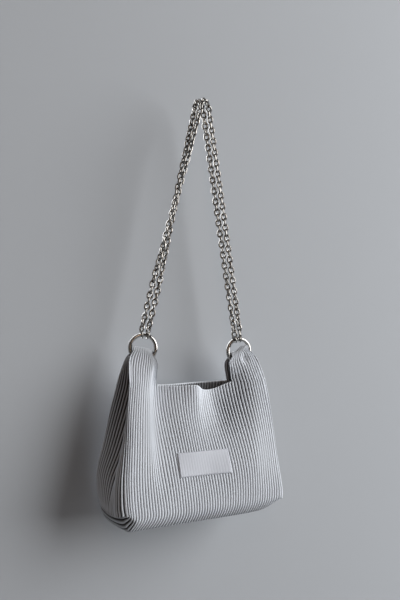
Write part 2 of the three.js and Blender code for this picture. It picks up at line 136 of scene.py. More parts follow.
# The sweep: level floor, a quarter circle, then an upright wall, drawn out sideways.
bend = np.linspace(0.0, np.pi / 2, 17)
sweep_away = np.concatenate([[FLOOR_FRONT], WALL_AWAY - WALL_BEND + WALL_BEND * np.sin(bend), [WALL_AWAY]])
sweep_up = np.concatenate([[0.0], WALL_BEND * (1 - np.cos(bend)), [WALL_HEIGHT]]) + FLOOR
sweep_side = np.linspace(-STAGE_HALF, STAGE_HALF, 9)
sweep_points = np.stack(
    np.broadcast_arrays(sweep_side[None, :], sweep_away[:, None], sweep_up[:, None]), -1)
sweep_numbers = np.arange(sweep_points[..., 0].size).reshape(sweep_points.shape[:2])
paper, tree, surface = new_finish("pale_paper")
place = shader_node(tree, "ShaderNodeTexCoord").outputs["Object"]
mottle = shader_node(tree, "ShaderNodeTexNoise", {"Vector": place, "Scale": 1.5, "Detail": 2.0})
tone = shader_node(tree, "ShaderNodeMixRGB", {
    "Fac": mottle.outputs["Fac"], "Color1": PAPER_DULL, "Color2": PAPER_PALE})
tree.links.new(tone.outputs["Color"], surface.inputs["Base Color"])
surface.inputs["Roughness"].default_value = 0.95
from_behind = shader_node(tree, "ShaderNodeNewGeometry").outputs["Backfacing"]
clear = shader_node(tree, "ShaderNodeBsdfTransparent")
one_sided = shader_node(tree, "ShaderNodeMixShader", {
    0: from_behind, 1: surface.outputs["BSDF"], 2: clear.outputs["BSDF"]})
tree.links.new(one_sided.outputs["Shader"], tree.nodes["Material Output"].inputs["Surface"])
sweep = make_piece("paper_sweep", sweep_points.reshape(-1, 3), grid_quads(sweep_numbers), paper)
paper_only = bpy.data.collections.new("paper_only")
paper_only.objects.link(sweep)
paper_only.collection_objects[0].light_linking.link_state = "EXCLUDE"
back_light.light_linking.receiver_collection = paper_only
back_light.light_linking.blocker_collection = paper_only

# Body
# One rib knit runs down the front, under the base and up the back, and a tucked gusset of the same knit
# is sewn into each side. The upper corners rise as ears, each folded over a ring from front to back.
RIB_YARN = 1.1         # thickness of the knit at the top of a rib
GROOVE = 1.9           # depth of the groove between two ribs
GUSSET_GROOVE = 2.6    # deeper in the tucked gussets
DEEPEST = 1.2          # most that a groove may have of its depth
GROOVE_TONE = 0.8      # how much darker a groove is painted than a ridge: partly a darker yarn, mostly painted shade
GUSSET_GROOVE_SHADE = 1.6      # and in the gussets, deeper still as painted shade
YARN = 0.7             # thickness of the knit in a groove
RIBS = 60              # across the front, the same across the back
GUSSET_RIBS = 20
FULL_PITCH = 1.9       # millimetres from rib to rib at which a groove has its whole depth
CROWDING = 1.5         # power with which closer ribs lose that depth
RIB_SHARPNESS = 3.8    # higher makes the grooves narrower
HIGH_SHARPNESS = 2.4   # and how much higher it is towards the ears, from which height and over how much
HIGH_FROM = 70.0
HIGH_SPAN = 60.0
GAPE = 3.6             # and how much lower where ribs gape
GUSSET_SHARPNESS = 2.0
BASE_END_SHARPNESS = 3.0
MOUTH = 128.5          # height of the mouth edge over the foot line
EAR_TOP = 165.0        # height of the fold line of the higher ear
TWIST_END = 165.0      # height at which an ear has its whole turn
FLAT_FROM = 158.0      # height above which an ear has no folds
GUSSET_TOP = 158.0
LIP_REACH = 40.0
BELLY_HEIGHT = 45.0
CORNER_RADIUS_LEFT = 9.0     # of the upright corner edges at the foot
CORNER_RADIUS_RIGHT = 2.0
CORNER_SHARP = 0.001   # radius that is left where they are sharp
CORNER_FADE = 70.0     # height from which the corners sharpen, up to the mouth
CORNER_SWELL = 4.5     # how far a gusset swells beside its front corner
CORNER_REACH = 24.0
TUCK_FROM = 0.45       # pulls of a gusset's curve: share of the depth at which the first one lies, and
TUCK_IN = 0.55         # shares of the tuck and of the depth at which the second one lies
TUCK_OUT = 0.12
BASE_SAG = 15.0
BASE_POWER = 8.0       # higher turns the foot of the walls under more sharply
BASE_END_SAG = 5.0
BASE_FLATNESS = 7.5    # higher keeps the base low nearer to its right end
BASE_ROLL = 9.0        # radius of the roll at its left end
ROLL_FADE = 20.0       # how far in the cloth is still drawn out by the roll, and over how much that fades
ROLL_FADE_SPAN = 60.0
FOOT_LIFT = 6.0        # of the left gusset's foot
FOOT_LIFT_REACH = 15.0     # how far in and how high it is felt
FOOT_LIFT_HEIGHT = 70.0
EDGE = 1.5             # plain bound-off edge of the mouth
BEAD = 0.3             # how much it is thicker on each side
FOOT_SOFTNESS = 10     # passes that round the fold between wall and base
SOFT_ROWS = 4          # rows of points that they reach to each side
SOFT_STEP = 0.5        # share of the way to the mean of its neighbours that a row goes in a pass
CORNER_KEEP = 30       # higher keeps the fold sharp only nearer to the corners
FOOT_ROWS = np.array([0, 1.2, 2.6, 4.4, 7.0])     # heights of the close rows of points at the foot
EVEN_FROM = 12.0       # height from which rows are evenly spaced
GUSSET_TOP_SHADE = 0.3      # painted shade that darkens the gussets towards the top, from which height and over how much
GUSSET_TOP_SHADE_FROM = 40.0
GUSSET_TOP_SHADE_SPAN = 100.0
SHADE_STRENGTH = 0.42            # how much darker the knit is painted, as shade, where it is pulled flat
BASE_SHADE = 0.9        # share of that painted as shade under the base, and at its rolled end
BASE_END_SHADE = 0.8
BASE_END_CALM = -0.9   # the ribs gape there
BASE_END_RIBS = (0.3, 3.8)     # first and last place of the ribs that roll up at the left end
CRUMPLE_PLACE = np.array([65.5, 0.0, 154.0])   # dent in the front of the right ear
CRUMPLE_REACH = np.array([6.5, 8.0])
CRUMPLE_DEPTH = 3.6
CRUMPLE_CALM = 0.9     # how far it pulls the ribs flat and paints shade into the dent, and over how much more than its own reach
CRUMPLE_SPREAD = 1.15
CLIMB_FROM = -8.0      # how far out from its ring an ear starts to climb, and over how much
CLIMB_SPAN = 15.0
SHOULDER_FALL = 0.75   # how much less its outer edge climbs, from how far out and over how much
SHOULDER_FROM = 6.0
SHOULDER_SPAN = 14.0
INSIDE_SHADE_TONE = 0.3      # tone of the inside, painted dark as shade, and how much paler it is behind a groove
INSIDE_GROOVE = 0.6
EDGE_TONE = 0.9        # tone of the bound-off edge
KNIT_DEEP_SHADE = (0.022, 0.021, 0.022, 1.0)     # colour in the grooves, on their slopes and on the ridges; the darker two are mostly painted shade
KNIT_SHADED = (0.12, 0.126, 0.138, 1.0)
KNIT_PALE = (0.61, 0.642, 0.685, 1.0)
STITCHES = 0.8         # in a millimetre along a rib
STITCH_SLANT = 1.3     # slope of their slanting rows, in stitches to the width of a rib
STITCH_SHARE = 0.3     # height of the stitches against the loose fibres
HANG = np.array([7.5, -5.0, 433.0])     # underside of the chain at its middle
RIB_STEPS = np.array([0.0, 0.20, 0.34, 0.43, 0.50, 0.57, 0.66, 0.80])   # ridge to ridge, close at the groove


def table(columns, *rows):
    """A table with named columns."""
    return np.array(list(rows), dtype=[(column, float) for column in columns.split()])


# Outline by height: the corner edges to the left and right, in front and behind, how far the back edges
# stand out, tuck and swell of the gussets, and the inner edges of the ears.
OUTLINE = table(
    "at left right front back flare fold bulge inner_left inner_right",
    (0, 94.6, 94.4, 38, 36, 0, 0, 3, 42, 50.6),
    (9, 95.8, 95.9, 36.6, 37, 1, 1, 2.6, 42, 50.6),
    (36, 94.2, 95.6, 30, 36.5, 3, 5, 1.6, 42, 50.6),
    (65, 90.4, 94.8, 23.8, 30.5, 3, 13, 0, 42, 50.6),
    (100, 85, 93.2, 16.2, 22.5, 3, 20, 0, 42, 50.6),
    (128.5, 79.6, 90.4, 9.9, 16.5, 3, 21, 0, 42, 50.6),
    (145, 77, 85, 7.2, 12.5, 2.5, 14, 0, 44.5, 47.6),
    (158, 74, 78.8, 5.2, 7.5, 1.5, -2.5, 0, 45.7, 46.2),
    (165, 69.8, 70.3, 4.6, 4.6, 0, -3, 0, 50.1, 50.1))

# Folds of the walls by rib from the left, at the mouth: how far out, how far drawn to the side, how far
# both reach down, a short fold of the mouth edge, the drop of that edge and a swelling low down. On the
# front also how far the ribs are pulled flat, round which height and how far from it, and on the swelling.
FOLDS = {
    "front": table(
        "at out shift reach lip drop belly calm calm_at calm_reach low_calm",
        (0, 0, 0, 75, 0, 0, 0, -0.45, 95, 170, 0),
        (5, 1.3, -2.2, 80, 0, 0, -1, 0.25, 85, 70, 0),
        (10, -1.2, -3.6, 106, 0, 0, -2, 0.95, 88, 80, 0),
        (14, -9.6, -10, 122, 0, 0, -2.5, 0.97, 92, 80, 0),
        (18, -12, -12.6, 108, 0, 0, -2.5, 0.35, 88, 60, 0),
        (26, -4, -13, 107, 0, 0.6, -2, -0.1, 112, 45, 0),
        (32, -5.2, -12, 118, 7, 0.4, -0.5, -0.05, 112, 35, 0),
        (36, -11, -11, 116, 3.5, 6.4, 2, 0.7, 112, 25, 0),
        (41, -14.6, -8.7, 112, 0, 7.2, 4.5, -0.5, 106, 45, 0),
        (48, -8.9, -5, 105, 0, 0, 5.5, -0.9, 115, 60, 0.25),
        (54, 0.6, -3, 60, 0, 0, 3, -0.65, 126, 65, 0.8),
        (60, 0, 0, 55, 0, 0, 0, -0.5, 130, 70, 0.35)),
    "back": table(
        "at out reach lip drop belly",
        (0, 0, 80, 0, 0, 0),
        (10, -1, 85, 0, 0, 0),
        (18, -5.6, 90, 0, 0, 0),
        (26, -5, 90, 0, 0.6, 0),
        (36, 2, 80, 0, 0.8, 0),
        (42, 1, 80, 0, 0.5, 0),
        (48, -4, 90, 0, 0, 0),
        (60, 0, 80, 0, 0, 0)),
}

# Ears, left then right: number of ribs, share of the full height, turn about the upright, rise of the fold
# line outward, how far its outer part climbs up the ring, middle of the ring, and how much the ribs crowd
# to the inner edge towards the top.
EARS = table(
    "side ribs share turn rise climb ring_x gather",
    (-1, 18, 1.0, -20, 0.18, 0, -59.7, 0.9),
    (1, 12, 0.81, -6, 0.16, 5.5, 60.3, 0.0))


def curve_through(rows, column, at):
    """Smooth curve through one column: cubic steps whose slopes are those of the neighbouring rows."""
    places = rows["at"]
    values = rows[column]
    last = len(places) - 1
    low = np.maximum(np.arange(last + 1) - 1, 0)
    high = np.minimum(np.arange(last + 1) + 1, last)
    slopes = (values[high] - values[low]) / (places[high] - places[low])
    i = np.clip(np.searchsorted(places, at) - 1, 0, last - 1)
    span = places[i + 1] - places[i]
    t = np.clip((at - places[i]) / span, 0, 1)
    mix = ease(t)
    lean = span * (slopes[i] * t * (1 - t) ** 2 - slopes[i + 1] * t * t * (1 - t))
    return values[i] * (1 - mix) + values[i + 1] * mix + lean


def ease(t):
    """Rises from 0 to 1 with level ends: three t squared less two t cubed."""
    t = np.clip(t, 0, 1)
    return t * t * (3 - 2 * t)


def across(s, z):
    """Place across the bag: straight from the left corner edge, s = -1, to the right one, s = 1."""
    left = -curve_through(OUTLINE, "left", z)
    return left + (s + 1) / 2 * (curve_through(OUTLINE, "right", z) - left)


def fold_value(face, column, s):
    """One column of a wall's folds at rib place s."""
    return curve_through(FOLDS[face], column, (s + 1) / 2 * RIBS)


def fold_share(reach, z):
    """Share of its depth that a fold has at height z: fades downward over its reach, and up the ears."""
    return ease((z - MOUTH + reach) / reach) * (1 - ease((z - MOUTH) / (FLAT_FROM - MOUTH)))


def low_hill(z):
    """Share of a low swelling at height z: none at the foot, whole at BELLY_HEIGHT, none at the mouth."""
    return ease(z / BELLY_HEIGHT) * (1 - ease((z - BELLY_HEIGHT) / (MOUTH - BELLY_HEIGHT)))


def fold_out(face, s, z):
    """How far a wall stands out: its folds from the mouth down, the lip's own and the low swelling."""
    return (fold_value(face, "out", s) * fold_share(fold_value(face, "reach", s), z)
            + fold_value(face, "lip", s) * fold_share(LIP_REACH, z)
            + fold_value(face, "belly", s) * low_hill(z))


def rib_calm(s, z):
    """How far the ribs of the front are pulled flat, up to 1, or below nought how far they gape."""
    away = np.abs(z - fold_value("front", "calm_at", s)) / fold_value("front", "calm_reach", s)
    drawn = fold_value("front", "calm", s) * (1 - ease(away))
    return np.clip(drawn + fold_value("front", "low_calm", s) * low_hill(z), -1, 1)


def groove_sharpness(z, calm):
    """Sharpness of the ribs at height z: rises towards the ears, and falls where the ribs gape."""
    higher = HIGH_SHARPNESS * ease((z - HIGH_FROM) / HIGH_SPAN)
    return RIB_SHARPNESS + higher + GAPE * np.minimum(calm, 0)


def drawn_across(s, z):
    """Place across the bag with the side shift of the folds, the same on both walls."""
    return across(s, z) + fold_value("front", "shift", s) * fold_share(fold_value("front", "reach", s), z)


def mouth_height(face, s):
    """Height of the mouth edge: level, less the drop of its folds between the ears."""
    rib = (s + 1) / 2 * RIBS
    open_edge = (rib > EARS["ribs"][0]) & (rib < RIBS - EARS["ribs"][1])
    return MOUTH - np.where(open_edge, np.clip(fold_value(face, "drop", s), 0, None), 0.0)


def shape_ear(x, y, z):
    """Above the mouth an ear is shortened, turned about its ring and raised towards the outside."""
    ear = EARS[(x > 0).astype(int)]
    turn = np.radians(ear["turn"]) * ease((z - MOUTH) / (TWIST_END - MOUTH))
    off = x - ear["ring_x"]
    outward = ear["side"] * off
    shoulder = 1 - SHOULDER_FALL * ease((outward - SHOULDER_FROM) / SHOULDER_SPAN)
    climb = ear["climb"] * ease((outward - CLIMB_FROM) / CLIMB_SPAN) * shoulder
    rise = (ear["rise"] * outward + climb) * ease((z - MOUTH) / (EAR_TOP - MOUTH))
    shaped = np.stack([ear["ring_x"] + off * np.cos(turn) - y * np.sin(turn),
                       off * np.sin(turn) + y * np.cos(turn),
                       MOUTH + (z - MOUTH) * ear["share"] + rise], -1)
    return np.where((z > MOUTH)[..., None], shaped, np.stack([x, y, z], -1))


def wall(face, s, z):
    """Front or back wall, and the ears above it: depth by height plus the folds, at rib place s."""
    s, z = np.broadcast_arrays(np.asarray(s, float), np.asarray(z, float))
    depth = curve_through(OUTLINE, face, z) + fold_out(face, s, z)
    ear = EARS[(s > 0).astype(int)]
    edge = drawn_across(ear["side"] * (1 - 2 * ear["ribs"] / RIBS), MOUTH)
    inner_left = -curve_through(OUTLINE, "inner_left", z)
    inner = np.where(s > 0, curve_through(OUTLINE, "inner_right", z), inner_left)
    drawn = drawn_across(s, np.minimum(z, MOUTH))
    share = np.clip((drawn - edge) / (across(ear["side"], MOUTH) - edge), 0, 1)
    gather = 1 + ear["gather"] * np.clip((z - MOUTH) / (EAR_TOP - MOUTH), 0, 1)
    x = np.where(z > MOUTH, inner + share ** gather * (across(ear["side"], z) - inner), drawn)
    if face == "back":
        return shape_ear(x + curve_through(OUTLINE, "flare", z) * s ** 3, depth, z)
    return shape_ear(x, -depth, z)


def gusset_row(side, share, z, sag):
    """One row across a gusset: from each corner a cubic curve that tucks in to the middle.

    The curve is the mean of four pulls, each weighted by powers of t and 1 - t that add up to three. Its
    points are evenly spaced, and beside the front corner it swells out by half a sine wave.
    """
    fold = curve_through(OUTLINE, "fold", z)
    bulge = curve_through(OUTLINE, "bulge", z)
    t = np.linspace(0, 1, 121)
    weights = np.stack([(1 - t) ** 3, 3 * t * (1 - t) ** 2, 3 * t * t * (1 - t), t ** 3], -1)
    halves = []
    for face, part in (("front", share[share <= 0.5] * 2), ("back", 2 - share[share > 0.5] * 2)):
        depth = curve_through(OUTLINE, face, z) + fold_out(face, side, z)
        flare = curve_through(OUTLINE, "flare", z) if face == "back" else 0.0
        pulls = [(-flare, depth), (-flare, TUCK_FROM * depth), (TUCK_IN * fold, TUCK_OUT * depth), (fold, 0)]
        line = weights @ np.array(pulls)
        run = np.concatenate([[0], np.cumsum(np.linalg.norm(np.diff(line, axis=0), axis=1))])
        inward = np.interp(part, run / run[-1], line[:, 0])
        out = np.interp(part, run / run[-1], line[:, 1])
        middle = 1 - (out / depth) ** 2
        if face == "front":
            beside_corner = np.sin(np.pi * np.clip((depth - out) / CORNER_REACH, 0, 1))
            inward -= CORNER_SWELL * beside_corner * (1 - ease(z / MOUTH))
        x = across(side, z) + side * (bulge * middle - inward)
        halves.append(shape_ear(x, -out if face == "front" else out, z - sag * middle))
    return np.concatenate(halves)


def round_corners(points):
    """Rounds the upright corner edges: near an edge both sides are drawn inward by a quarter of a parabola.

    With a and b the distances in from the edge along the two sides, t = a - b, and each side moves in by
    (t + r)(t + r) / 4r less the part of t above nought, where t is within r of nought. r fades upward.
    """
    x, y, z = np.moveaxis(points, -1, 0)
    side = np.where(x < 0, -1.0, 1.0)
    level = np.clip(z, 0, MOUTH)
    front = curve_through(OUTLINE, "front", level) + fold_out("front", side, level)
    back = curve_through(OUTLINE, "back", level) + fold_out("back", side, level)
    a = np.abs(across(side, level)) - np.abs(x)
    b = np.where(y < 0, front, back) - np.abs(y)
    faded = ease((z - CORNER_FADE) / (MOUTH - CORNER_FADE))
    radius = np.where(x < 0, CORNER_RADIUS_LEFT, CORNER_RADIUS_RIGHT) * (1 - faded) + CORNER_SHARP
    near = np.clip(1 - np.minimum(np.abs(a), np.abs(b)) / radius, 0, 1)
    moves = []
    for t in (a - b, b - a):
        rounded = np.where(np.abs(t) < radius, (t + radius) ** 2 / (4 * radius), np.clip(t, 0, None))
        moves.append(near * (rounded - np.clip(t, 0, None)))
    return points - np.stack([side * moves[0], np.sign(y) * moves[1], np.zeros_like(z)], -1)


def lift_foot(points):
    """Lifts the foot of the left gusset and the end of the base under it, fading inward and up and down."""
    x = points[..., 0]
    z = points[..., 2]
    inward = 1 - ease((x + OUTLINE["left"][0] + OUTLINE["bulge"][0]) / FOOT_LIFT_REACH)
    level = np.where(z > 0, 1 - ease(z / FOOT_LIFT_HEIGHT), 1 + z / BASE_SAG)
    lift = FOOT_LIFT * inward * np.clip(level, 0, 1)
    return points + lift[..., None] * np.array([0.0, 0.0, 1.0])


def base(s, q):
    """Base: sags between the foot lines, q = -1 in front and 1 behind, flat along most of its length.

    At the left its end ribs roll up round a quarter circle to the gusset, and at the right it rises slowly.
    """
    s, q = np.broadcast_arrays(s, q)
    middle = 1 - q * q
    foot = OUTLINE[0]
    inner = 1 - np.abs(q) ** BASE_POWER
    run = across(s, 0.0) + foot["left"]
    turned = np.minimum(run / BASE_ROLL, np.pi / 2)
    end = np.where(s < 0, 1 - np.sin(turned), np.abs(s) ** BASE_FLATNESS)
    z = -BASE_SAG * inner * (1 - end) - BASE_END_SAG * middle * end
    drawn_out = BASE_ROLL * (1 - np.cos(turned) - turned) * (1 - ease((run - ROLL_FADE) / ROLL_FADE_SPAN))
    x = across(s, 0.0) + np.sign(s) * foot["bulge"] * middle * end + drawn_out * inner
    return np.stack([x, q * np.where(q < 0, foot["front"], foot["back"]), z], -1)


def rib_places(ribs):
    """Places across a run of ribs, in ribs: each ridge, and steps that crowd at the grooves."""
    return np.append((np.arange(ribs)[:, None] + RIB_STEPS).ravel(), ribs)


def rib_height(place, sharpness):
    """Height of a rib over its groove, 0 to 1: a round ridge at whole places and a groove half way."""
    near = np.abs(2 * (place % 1.0) - 1)
    return 1 - (1 - near) ** sharpness


def patch(points, place, sharpness, groove=GROOVE, groove_tone=GROOVE_TONE, calm=0.0, painted_shade=0.0):
    """A grid of points with its lay: rib place, millimetres along the ribs, tone and dip of the groove.

    Where ribs are crowded closer than FULL_PITCH, or pulled flat, the grooves are shallower and their
    painted shade paler, and where shade is painted the knit is darker all over.
    """
    steps = np.linalg.norm(np.diff(points, axis=0), axis=2)
    along = np.concatenate([np.zeros((1, points.shape[1])), np.cumsum(steps, axis=0)])
    along = np.broadcast_to(along.mean(axis=1, keepdims=True), points.shape[:2])
    rib = np.broadcast_to(place, points.shape[:2])
    pitch = np.linalg.norm(np.gradient(points, axis=1), axis=2) / np.gradient(place)
    room = np.clip(pitch / FULL_PITCH, 0, 1) ** CROWDING * (1 - calm)
    fall = (1 - rib_height(rib, sharpness)) * room
    tone = 1 - groove_tone * fall - painted_shade
    return points, np.stack([rib, along, tone, groove * np.minimum(fall, DEEPEST)], -1)


def join_patches(patches):
    """Patches as one sheet: points in the same place are one point. Gives points, lay and faces."""
    points = np.concatenate([p.reshape(-1, 3) for p, lay in patches])
    lay = np.concatenate([lay.reshape(-1, lay.shape[-1]) for p, lay in patches])
    starts = np.cumsum([0] + [p[..., 0].size for p, lay in patches])
    first, number = np.unique(np.round(points, 3), axis=0, return_index=True, return_inverse=True)[1:]
    number = number.ravel()
    quads = [grid_quads(number[start:start + p[..., 0].size].reshape(p.shape[:2]))
             for start, (p, lay) in zip(starts, patches)]
    return points[first], lay[first], np.concatenate(quads)


def sheet_normals(points, quads):
    """Outward direction at each point: the sum of the faces round it, made one long."""
    corner = points[quads]
    face = np.cross(corner[:, 2] - corner[:, 0], corner[:, 3] - corner[:, 1])
    total = np.zeros_like(points)
    np.add.at(total, quads.ravel(), np.repeat(face, 4, axis=0))
    return total / np.linalg.norm(total, axis=1, keepdims=True)


def free_edges(quads):
    """First and last points of the edges that only one face has."""
    count = quads.max() + 1
    start = quads.ravel()
    end = np.roll(quads, -1, axis=1).ravel()
    free = ~np.isin(start * count + end, end * count + start)
    return start[free], end[free]


def thicken(points, quads, outer_dip, inner_dip):
    """Closed sheet: an outer and an inner face, moved in along the normals, and rims on the free edges."""
    normal = sheet_normals(points, quads)
    count = len(points)
    start, end = free_edges(quads)
    rim = np.stack([end, start, start + count, end + count], -1)
    solid = np.concatenate([points - normal * outer_dip[:, None], points - normal * inner_dip[:, None]])
    return solid, np.concatenate([quads, quads[:, ::-1] + count, rim])


def metres(points):
    """From millimetres over the foot line to metres from the hanging point."""
    return (points - HANG) / 1000


# Front, base and back in one run of ribs: down the back, forward under the base and up the front. The
# fold at each foot line is rounded, less so at the corners where the gussets are sewn in.
rib = rib_places(RIBS)
s = rib * 2 / RIBS - 1
even_rows = np.linspace(EVEN_FROM, MOUTH - EDGE, 15)
wall_rows = np.concatenate([FOOT_ROWS, even_rows, [MOUTH]])[:, None] / MOUTH
base_rows = np.sin(np.linspace(np.pi / 2, -np.pi / 2, 23))[1:-1, None]
back_wall = wall("back", s, wall_rows[::-1] * mouth_height("back", s))
front_wall = wall("front", s, wall_rows * mouth_height("front", s))
panel = np.concatenate([back_wall, base(s, base_rows), front_wall])
softness = SOFT_STEP * (1 - np.abs(s) ** CORNER_KEEP)[None, :, None]
for soft_pass in range(FOOT_SOFTNESS):
    for foot in (len(back_wall) - 1, len(back_wall) + len(base_rows)):
        near_foot = slice(foot - SOFT_ROWS, foot + SOFT_ROWS + 1)
        row_before = panel[foot - SOFT_ROWS - 1:foot + SOFT_ROWS]
        row_after = panel[foot - SOFT_ROWS + 1:foot + SOFT_ROWS + 2]
        panel[near_foot] += softness * ((row_before + row_after) / 2 - panel[near_foot])

# Where the ribs are pulled flat or gape, and where the knit is painted darker as shade: by the folds of the
# front, under the base and at its rolled end. The edge of the mouth has no ribs.
painted_shade = np.zeros(panel.shape[:2])
painted_shade[-len(front_wall):] = rib_calm(s, wall_rows * MOUTH)
calm = painted_shade.copy()
painted_shade[len(back_wall):-len(front_wall)] = BASE_SHADE * (1 - np.abs(base_rows) ** BASE_POWER)
end_first, end_last = np.searchsorted(rib, BASE_END_RIBS)
base_end = np.s_[len(back_wall):-len(front_wall), end_first:end_last]
calm[base_end] = BASE_END_CALM
painted_shade[base_end] = BASE_END_SHADE
open_edge = (rib > EARS["ribs"][0]) & (rib < RIBS - EARS["ribs"][1])
calm[[0, -1]] = np.where(open_edge, 1.0, calm[[0, -1]])
sharpness = groove_sharpness(panel[..., 2], calm)
sharpness[base_end] = BASE_END_SHARPNESS
patches = [patch(lift_foot(round_corners(panel)), rib, sharpness, calm=calm,
                 painted_shade=SHADE_STRENGTH * np.clip(painted_shade, 0, 1))]

# Gussets, right then left, each in two patches: up to the mouth, and on between the layers of the ear.
gusset_rib = rib_places(GUSSET_RIBS)
gusset_share = gusset_rib / GUSSET_RIBS
for side, order in ((1.0, 1), (-1.0, -1)):
    low = np.stack([gusset_row(side, gusset_share, row * MOUTH, BASE_END_SAG * (1 - row))
                    for row in wall_rows[:, 0]])
    high = np.stack([gusset_row(side, gusset_share, z, 0.0) for z in np.linspace(MOUTH, GUSSET_TOP, 9)])
    for rows in (lift_foot(round_corners(low)), high):
        # The gussets are painted darker towards the top, as shade.
        gusset_shade = GUSSET_TOP_SHADE * ease((rows[..., 2] - GUSSET_TOP_SHADE_FROM) / GUSSET_TOP_SHADE_SPAN)
        patches.append(patch(rows[:, ::order], gusset_rib, GUSSET_SHARPNESS, GUSSET_GROOVE, GUSSET_GROOVE_SHADE,
                             painted_shade=gusset_shade))

# Ears: up the front layer, over the ring in a half circle, and down the back layer.
ear_rows = np.linspace(MOUTH, EAR_TOP, 12)[:, None]
arch = np.linspace(0, np.pi, 11)[1:-1, None, None]
for ear in EARS:
    width = len(RIB_STEPS) * int(ear["ribs"]) + 1
    own = slice(0, width) if ear["side"] < 0 else slice(-width, None)
    front_layer = wall("front", s[own], ear_rows)
    ear_calm = rib_calm(s[own], ear_rows)
    if ear["side"] > 0:
        away = np.linalg.norm((front_layer - CRUMPLE_PLACE)[..., [0, 2]] / CRUMPLE_REACH, axis=-1)
        front_layer[..., 1] += CRUMPLE_DEPTH * (1 - ease(away))
        ear_calm += (CRUMPLE_CALM - ear_calm) * (1 - ease(away / CRUMPLE_SPREAD))
    back_layer = wall("back", s[own], ear_rows)[::-1]
    middle = (front_layer[-1] + back_layer[0]) / 2
    reach = front_layer[-1] - middle
    rise = np.linalg.norm(reach, axis=1)[:, None] * np.array([0.0, 0.0, 1.0])
    over = middle + reach * np.cos(arch) + rise * np.sin(arch)
    calm = np.zeros((len(front_layer) + len(over) + len(back_layer), len(rib[own])))
    calm[:len(ear_rows)] = ear_calm
    # Where the ribs are pulled flat, and in the dent, the knit is painted darker as shade.
    patches.append(patch(np.concatenate([front_layer, over, back_layer]), rib[own],
                         groove_sharpness(EAR_TOP, calm), calm=calm, painted_shade=SHADE_STRENGTH * np.clip(calm, 0, 1)))

points, lay, quads = join_patches(patches)
inside_tone = INSIDE_SHADE_TONE + INSIDE_GROOVE * (1 - lay[:, 2])
outer_dip = lay[:, 3]
inner_dip = outer_dip + YARN + (RIB_YARN - YARN) * np.clip(lay[:, 2], 0, 1)
# The bound-off edge is a plain pale bead.
edge = free_edges(quads)[0]
inside_tone[edge] = EDGE_TONE
outer_dip[edge] -= BEAD
inner_dip[edge] += BEAD
solid, faces = thicken(points, quads, outer_dip, inner_dip)

knit, tree, surface = new_finish("silver_rib_knit")
rib_lay = shader_node(tree, "ShaderNodeAttribute", attribute_name="rib_lay").outputs["Vector"]
split = shader_node(tree, "ShaderNodeSeparateXYZ", {"Vector": rib_lay})
place = shader_node(tree, "ShaderNodeTexCoord").outputs["Object"]
shade = shader_node(tree, "ShaderNodeValToRGB", {"Fac": split.outputs["Z"]})
shade.color_ramp.elements[0].position = 0.0
shade.color_ramp.elements[0].color = KNIT_DEEP_SHADE
shade.color_ramp.elements[1].position = 0.8
shade.color_ramp.elements[1].color = KNIT_PALE
shaded = shade.color_ramp.elements.new(0.25)
shaded.color = KNIT_SHADED
patchy = shader_node(tree, "ShaderNodeTexNoise", {"Vector": place, "Scale": 28.0, "Detail": 3.0})
dull = shader_node(tree, "ShaderNodeMapRange", {
    "Value": patchy.outputs["Fac"], "To Min": 0.88, "To Max": 1.06})
colour = shader_node(tree, "ShaderNodeVectorMath", {0: shade.outputs["Color"], 1: dull.outputs["Result"]},
                     operation="MULTIPLY")
tree.links.new(colour.outputs["Vector"], surface.inputs["Base Color"])
# Stitches: slanting rows that meet in a point on each ridge, with loose fibres over them.
fraction = shader_node(tree, "ShaderNodeMath", {0: split.outputs["X"]}, operation="FRACT")
centred = shader_node(tree, "ShaderNodeMath", {0: fraction.outputs[0], 1: 0.5}, operation="SUBTRACT")
slant = shader_node(tree, "ShaderNodeMath", {0: centred.outputs[0]}, operation="ABSOLUTE")
phase = shader_node(tree, "ShaderNodeMath", {0: split.outputs["Y"], 1: STITCHES}, operation="MULTIPLY")
turns = shader_node(tree, "ShaderNodeMath", {0: slant.outputs[0], 1: STITCH_SLANT, 2: phase.outputs[0]},
                    operation="MULTIPLY_ADD")
radians = shader_node(tree, "ShaderNodeMath", {0: turns.outputs[0], 1: 2 * np.pi}, operation="MULTIPLY")
stitch = shader_node(tree, "ShaderNodeMath", {0: radians.outputs[0]}, operation="SINE")
fibre = shader_node(tree, "ShaderNodeTexNoise", {"Vector": place, "Scale": 1600.0, "Detail": 2.0})
relief = shader_node(tree, "ShaderNodeMath", {
    0: stitch.outputs[0], 1: STITCH_SHARE, 2: fibre.outputs["Fac"]}, operation="MULTIPLY_ADD")
bump = shader_node(tree, "ShaderNodeBump", {
    "Height": relief.outputs[0], "Strength": 0.35, "Distance": 0.0004})
tree.links.new(bump.outputs["Normal"], surface.inputs["Normal"])
surface.inputs["Roughness"].default_value = 0.85
surface.inputs["Sheen Weight"].default_value = 0.25
surface.inputs["Sheen Roughness"].default_value = 0.5
surface.inputs["Specular IOR Level"].default_value = 0.25

bag_body = make_piece("bag_knit", metres(solid), faces, knit)
both_lays = np.concatenate([lay[:, :3], np.column_stack([lay[:, :2], inside_tone])])
attribute = bag_body.data.attributes.new("rib_lay", "FLOAT_VECTOR", "POINT")
attribute.data.foreach_set("vector", both_lays.ravel())
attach(bag_body, "root")
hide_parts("bag_body")

